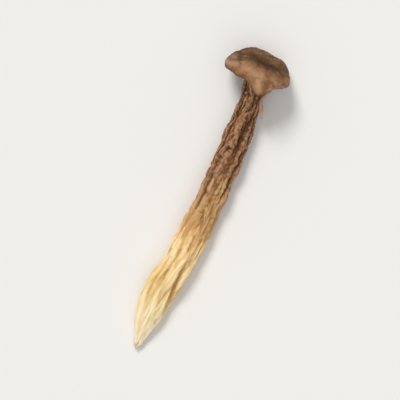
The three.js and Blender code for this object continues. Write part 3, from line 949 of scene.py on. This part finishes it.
# %% The stem's colours
SKIN_STOPS = [
    (0.0, 252, 232, 196),
    (0.12, 253, 230, 180),
    (0.2, 220, 180, 110),
    (0.3, 250, 217, 160),
    (0.39, 242, 203, 142),
    (0.45, 189, 143, 88),
    (0.53, 194, 151, 98),
    (0.58, 190, 147, 101),
    (0.62, 134, 93, 56),
    (0.7, 128, 90, 53),
    (0.8, 104, 67, 36),
    (0.92, 108, 72, 41),
    (1.0, 92, 63, 40),
]
# Painted shade: the darker colours that the deep furrows take
FURROW_SHADE_STOPS = [
    (0.0, 226, 196, 136),
    (0.3, 214, 174, 108),
    (0.42, 184, 137, 82),
    (0.6, 126, 80, 44),
    (0.75, 78, 41, 18),
    (1.0, 48, 27, 12),
]
# Painted highlight: the paler colours that the crests take
CREST_HIGHLIGHT_STOPS = [
    (0.0, 255, 244, 218),
    (0.12, 254, 234, 188),
    (0.2, 234, 200, 134),
    (0.3, 253, 227, 175),
    (0.38, 248, 210, 152),
    (0.46, 200, 155, 97),
    (0.55, 208, 166, 118),
    (0.6, 174, 130, 88),
    (0.64, 162, 118, 78),
    (0.72, 162, 117, 77),
    (0.9, 148, 106, 67),
    (1.0, 112, 78, 52),
]
SCAR_STOPS = [(0.0, 150, 108, 60), (0.4, 122, 80, 46), (0.6, 62, 36, 24), (1.0, 48, 28, 20)]

# %% The stem's skin colour, its painted furrow shade and its painted crest highlight, along its fibres
stem_skin, tree = new_material("dried_stem_skin")
grain_in = attribute(tree, "grain", "Vector")
along_in = attribute(tree, "along")
broad = streaks(tree, grain_in, 1.6, 9)
thin = streaks(tree, grain_in, 0.35, 22, 4)
patches = noise_texture(tree, grain_in, 0.75, 4.0, 0.6)
ripeness = maths(tree, "ADD", along_in, swing(tree, broad, 0.11))
skin, furrow_shade, crest_highlight = [ramp(tree, ripeness, stops) for stops in (SKIN_STOPS, FURROW_SHADE_STOPS, CREST_HIGHLIGHT_STOPS)]

# %% The stem's yellowed, bleached and reddened places
yellowed = remapped(tree, streaks(tree, grain_in, 2.4, 3, 2), 0.5, 0.95, 0.0, 0.55)
skin = tinted(tree, skin, yellowed, remapped(tree, along_in, 0.46, 0.36), paint(218, 182, 106))
bleached = remapped(tree, patches, 0.5, 0.7, 0.0, 0.6)
skin = tinted(tree, skin, bleached, remapped(tree, along_in, 0.2, 0.08), paint(250, 242, 220))
upper_stem_and_shaded_far_cap = remapped(tree, along_in, 0.48, 0.68)
skin = tinted(tree, skin, remapped(tree, patches, 0.47, 0.62, 0.0, 0.6), upper_stem_and_shaded_far_cap, paint(106, 64, 42))
skin = tinted(tree, skin, thin, 0.3, furrow_shade)

# %% [markdown]
# A furrow's painted shade isn't equally dark along its whole length. The same patchy noise that mottles the
# skin also shifts how deep the colour takes a point to be, so that dark lines break off and start again. On top
# lie pale and dark flecks a millimetre or two wide. The pale ones are pinkish skin, kept out of the furrows and
# strongest on the crests, so they are partly a painted highlight.

# %% The stem's painted furrow shade, crest highlights and flecks
uneven = maths(tree, "MULTIPLY", swing(tree, patches, 1.4), upper_stem_and_shaded_far_cap)
hollow_in = maths(tree, "ADD", attribute(tree, "hollow"), uneven)
# Painted shade darkens the furrows and a painted highlight lightens the crests
skin = furrow_shade_and_crest_highlight(tree, skin, furrow_shade, crest_highlight, hollow_in)
flecks = noise_texture(tree, grain_in, 0.85, 2.5)
# Pale pinkish flecks, partly the skin's own colour and partly a painted highlight, strongest on the crests
lighter = maths(tree, "MULTIPLY", remapped(tree, flecks, 0.47, 0.68, 0.0, 0.75), upper_stem_and_shaded_far_cap)
skin = tinted(tree, skin, lighter, remapped(tree, hollow_in, 0.66, 0.36, 0.15, 1.0), paint(184, 140, 110))
skin = tinted(tree, skin, remapped(tree, flecks, 0.5, 0.34, 0.0, 0.5), upper_stem_and_shaded_far_cap, paint(76, 42, 24))

# %% The stem's stains, specks and surface
skin = tinted(tree, skin, attribute(tree, "stain"), 0.7, paint(192, 134, 66))
old_enough = remapped(tree, along_in, 0.4, 0.8, 0.0, 0.35)
skin = tinted(tree, skin, specks(tree, grain_in, 1.3, 0.62), old_enough, paint(88, 48, 32))
skin = tinted(tree, skin, attribute(tree, "scar"), 0.85, ramp(tree, along_in, SCAR_STOPS))
rough = remapped(tree, thin, 0.0, 1.0, 0.66, 0.86)
pores = maths(tree, "MULTIPLY", noise_texture(tree, grain_in, 4.0, 3.0), 0.5)
finished(stem_skin, skin, rough, maths(tree, "ADD", thin, pores), 0.6, 0.12)
print("stem skin nodes:", len(tree.nodes))

# %% [markdown]
# ## The cap's skin
# The cap is a leathery brown with a satin shine, mottled, and paler and pinkish where it is smooth. Painted
# shade makes it very dark in the crease and darker on its far side, and a painted highlight lightens its crests
# and, partly, its pinkish rim. Underneath it is the tan of the gills.

# %% The cap's mottled brown, with painted shade that makes the far side darker
NEAR_STOPS = [(0.3, 108, 68, 38), (0.45, 129, 87, 51), (0.57, 144, 100, 61), (0.7, 162, 117, 76)]
# Painted shade: the darker colours of the cap's far side
SHADED_FAR_STOPS = [(0.3, 76, 48, 22), (0.45, 89, 59, 29), (0.57, 102, 71, 40), (0.7, 119, 87, 53)]
cap_skin, tree = new_material("dried_cap_skin")
grain_in = attribute(tree, "grain", "Vector")
mottle = noise_texture(tree, grain_in, 0.42, 5.0, 0.62)
near, far = ramp(tree, mottle, NEAR_STOPS), ramp(tree, mottle, SHADED_FAR_STOPS)
far_way = add(tree, "ShaderNodeSeparateXYZ", {"Vector": grain_in}).outputs["Y"]
# Painted shade: the far side of the cap takes the darker colours
upper_stem_and_shaded_far_cap = remapped(tree, maths(tree, "ADD", far_way, swing(tree, mottle, 12.0)), -5.4, -1.8)
skin = mixed(tree, upper_stem_and_shaded_far_cap, near, far)

# %% The cap's patches, painted furrow shade and crest highlight, painted crown shade, specks and surface
skin = tinted(tree, skin, streaks(tree, grain_in, 0.5, 1.0, 4), 0.3, paint(92, 58, 38))
pale_in = attribute(tree, "pale")
skin = tinted(tree, skin, pale_in, 0.7, paint(198, 152, 114))
# Pinkish patches, partly a painted highlight on the rolled rim
skin = tinted(tree, skin, attribute(tree, "rosy"), 0.75, paint(192, 146, 134))
# Painted highlight on the cap's crests, and painted shade in its furrows
cap_crest_highlight = mixed(tree, 0.25, skin, paint(178, 138, 104))
shaded = mixed(tree, 0.3, skin, paint(60, 36, 18))
skin = furrow_shade_and_crest_highlight(tree, skin, shaded, cap_crest_highlight, attribute(tree, "hollow"))
# Painted shade: the crease and the far side of the crown go a near-black brown
skin = tinted(tree, skin, attribute(tree, "scar"), 0.9, paint(64, 34, 6))
skin = tinted(tree, skin, specks(tree, grain_in, 1.1, 0.6), 0.22, paint(72, 42, 28))
under = remapped(tree, attribute(tree, "share"), 0.6, 0.68)
skin = mixed(tree, under, skin, paint(150, 110, 70))
rough = remapped(tree, pale_in, 0.0, 1.0, 0.7, 0.52)
finished(cap_skin, skin, rough, noise_texture(tree, grain_in, 2.2, 5.0, 0.6), 0.5, 0.25)
print("cap skin nodes:", len(tree.nodes))

# %% [markdown]
# ## Gills and torn flesh
# The gills are tan with a browned, thinner edge. Torn flesh has never had a skin: it is pale and fibrous. The
# ribbon at the neck and the slivers are skin from inside, and have dried to a pale, pinkish tan.

# %% The gills' material
gill_flesh, tree = new_material("dried_gill_flesh")
place = add(tree, "ShaderNodeTexCoord").outputs["Object"]
patches = noise_texture(tree, place, 350.0, 4.0)
flesh = ramp(tree, patches, [(0.35, 150, 108, 68), (0.65, 196, 156, 108)])
browned = remapped(tree, attribute(tree, "edge"), 0.55, 1.0, 0.0, 0.7)
flesh = mixed(tree, browned, flesh, paint(104, 68, 42))
finished(gill_flesh, flesh, remapped(tree, patches, 0.3, 0.7, 0.7, 0.9), patches, 0.4, 0.1)

# %% The materials of torn flesh and skin
THREAD_SCALE = (1000, 1000, 120)  # metres to millimetres, with threads drawn out upright


def torn_material(name, root, tip, shade):
    material, tree = new_material(name)
    place = add(tree, "ShaderNodeTexCoord").outputs["Object"]
    in_mm = add(tree, "ShaderNodeVectorMath", {0: place, 1: THREAD_SCALE}, operation="MULTIPLY").outputs[0]
    threads = noise_texture(tree, in_mm, 2.5, 3.0)
    flesh = mixed(tree, attribute(tree, "share"), root, tip)
    flesh = mixed(tree, remapped(tree, threads, 0.4, 0.7, 0.0, 0.4), flesh, shade)
    return finished(material, flesh, remapped(tree, threads, 0.3, 0.7, 0.7, 0.9), threads, 0.5, 0.1)


FOOT_COLOURS = (paint(248, 230, 192), paint(240, 214, 168), paint(206, 164, 108))
STRIP_COLOURS = (paint(206, 166, 146), paint(204, 160, 134), paint(140, 92, 66))
SLIVER_COLOURS = (paint(188, 148, 118), paint(206, 168, 138), paint(150, 104, 74))
foot_flesh = torn_material("torn_foot_flesh", *FOOT_COLOURS)
strip_flesh = torn_material("torn_strip_skin", *STRIP_COLOURS)
sliver_flesh = torn_material("torn_sliver_skin", *SLIVER_COLOURS)

# %% [markdown]
# ## Dress the part
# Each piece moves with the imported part's one body, stands for its one solid and takes its finish from its one
# material slot.

# %% Put the pieces in place
DRESSED = [
    (stem_mesh, stem_skin),
    (cap_mesh, cap_skin),
    (gill_mesh, gill_flesh),
    (foot_mesh, foot_flesh),
    (strip_mesh, strip_flesh),
    (sliver_mesh, sliver_flesh),
]
for mesh, material in DRESSED:
    piece = bpy.data.objects.new(mesh.name, mesh)
    mesh.materials.append(material)
    bpy.context.scene.collection.objects.link(piece)
    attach(piece, "root")
    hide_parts("mushroom")
    print(piece.name, "faces:", len(mesh.polygons))

# %% [markdown]
# ## Surface, light and camera
# The surface is plain and pale. The photograph is lit by soft light from its upper left, so the strongest
# light comes from there, a wide weak one from above, and a little from everywhere around.

# %% The surface and the lights
surface_mesh = bpy.data.meshes.new("surface")
SURFACE_HALF = 2.0
corners = [(x * SURFACE_HALF, y * SURFACE_HALF, 0) for x, y in ((-1, -1), (1, -1), (1, 1), (-1, 1))]
surface_mesh.from_pydata(corners, [], [(0, 1, 2, 3)])
surface = bpy.data.objects.new("surface", surface_mesh)
bpy.context.scene.collection.objects.link(surface)
pale_paint, tree = new_material("pale_surface")
tree.nodes["Principled BSDF"].inputs["Base Color"].default_value = paint(236, 234, 229)
tree.nodes["Principled BSDF"].inputs["Roughness"].default_value = 0.9
surface_mesh.materials.append(pale_paint)


def soft_light(name, comes_from, spread, strength):
    """Light from one side, the same everywhere. The wider its spread, in degrees, the softer its shadows."""
    light = bpy.data.objects.new(name, bpy.data.lights.new(name, "SUN"))
    light.data.angle = np.radians(spread)
    light.data.energy = strength
    light.rotation_mode = "QUATERNION"
    light.rotation_quaternion = Vector(comes_from).to_track_quat("Z", "Y")
    bpy.context.scene.collection.objects.link(light)


soft_light("window_light", (-0.62, 0.62, 1.0), 22, 2.0)
soft_light("room_light", (0.3, -0.4, 1.0), 70, 0.7)
world = bpy.data.worlds.new("surroundings")
world.use_nodes = True
world.node_tree.nodes["Background"].inputs["Color"].default_value = paint(240, 240, 242)
world.node_tree.nodes["Background"].inputs["Strength"].default_value = 0.42
bpy.context.scene.world = world
bpy.context.scene.view_settings.view_transform = "Standard"

# %% The camera, straight above as in the photograph
VIEW_WIDTH = 0.143  # m across the picture
CAMERA_HEIGHT = 1.4
STEM_LEAN = np.radians(24.2)  # how far the stem leans to the right of upright in the picture
SENSOR = 36
camera = bpy.data.objects.new("camera", bpy.data.cameras.new("camera"))
camera.data.sensor_width = SENSOR
camera.data.lens = SENSOR * CAMERA_HEIGHT / VIEW_WIDTH
camera.location = (0, 0, CAMERA_HEIGHT)
camera.rotation_euler = (0, 0, STEM_LEAN)
bpy.context.scene.collection.objects.link(camera)
bpy.context.scene.camera = camera
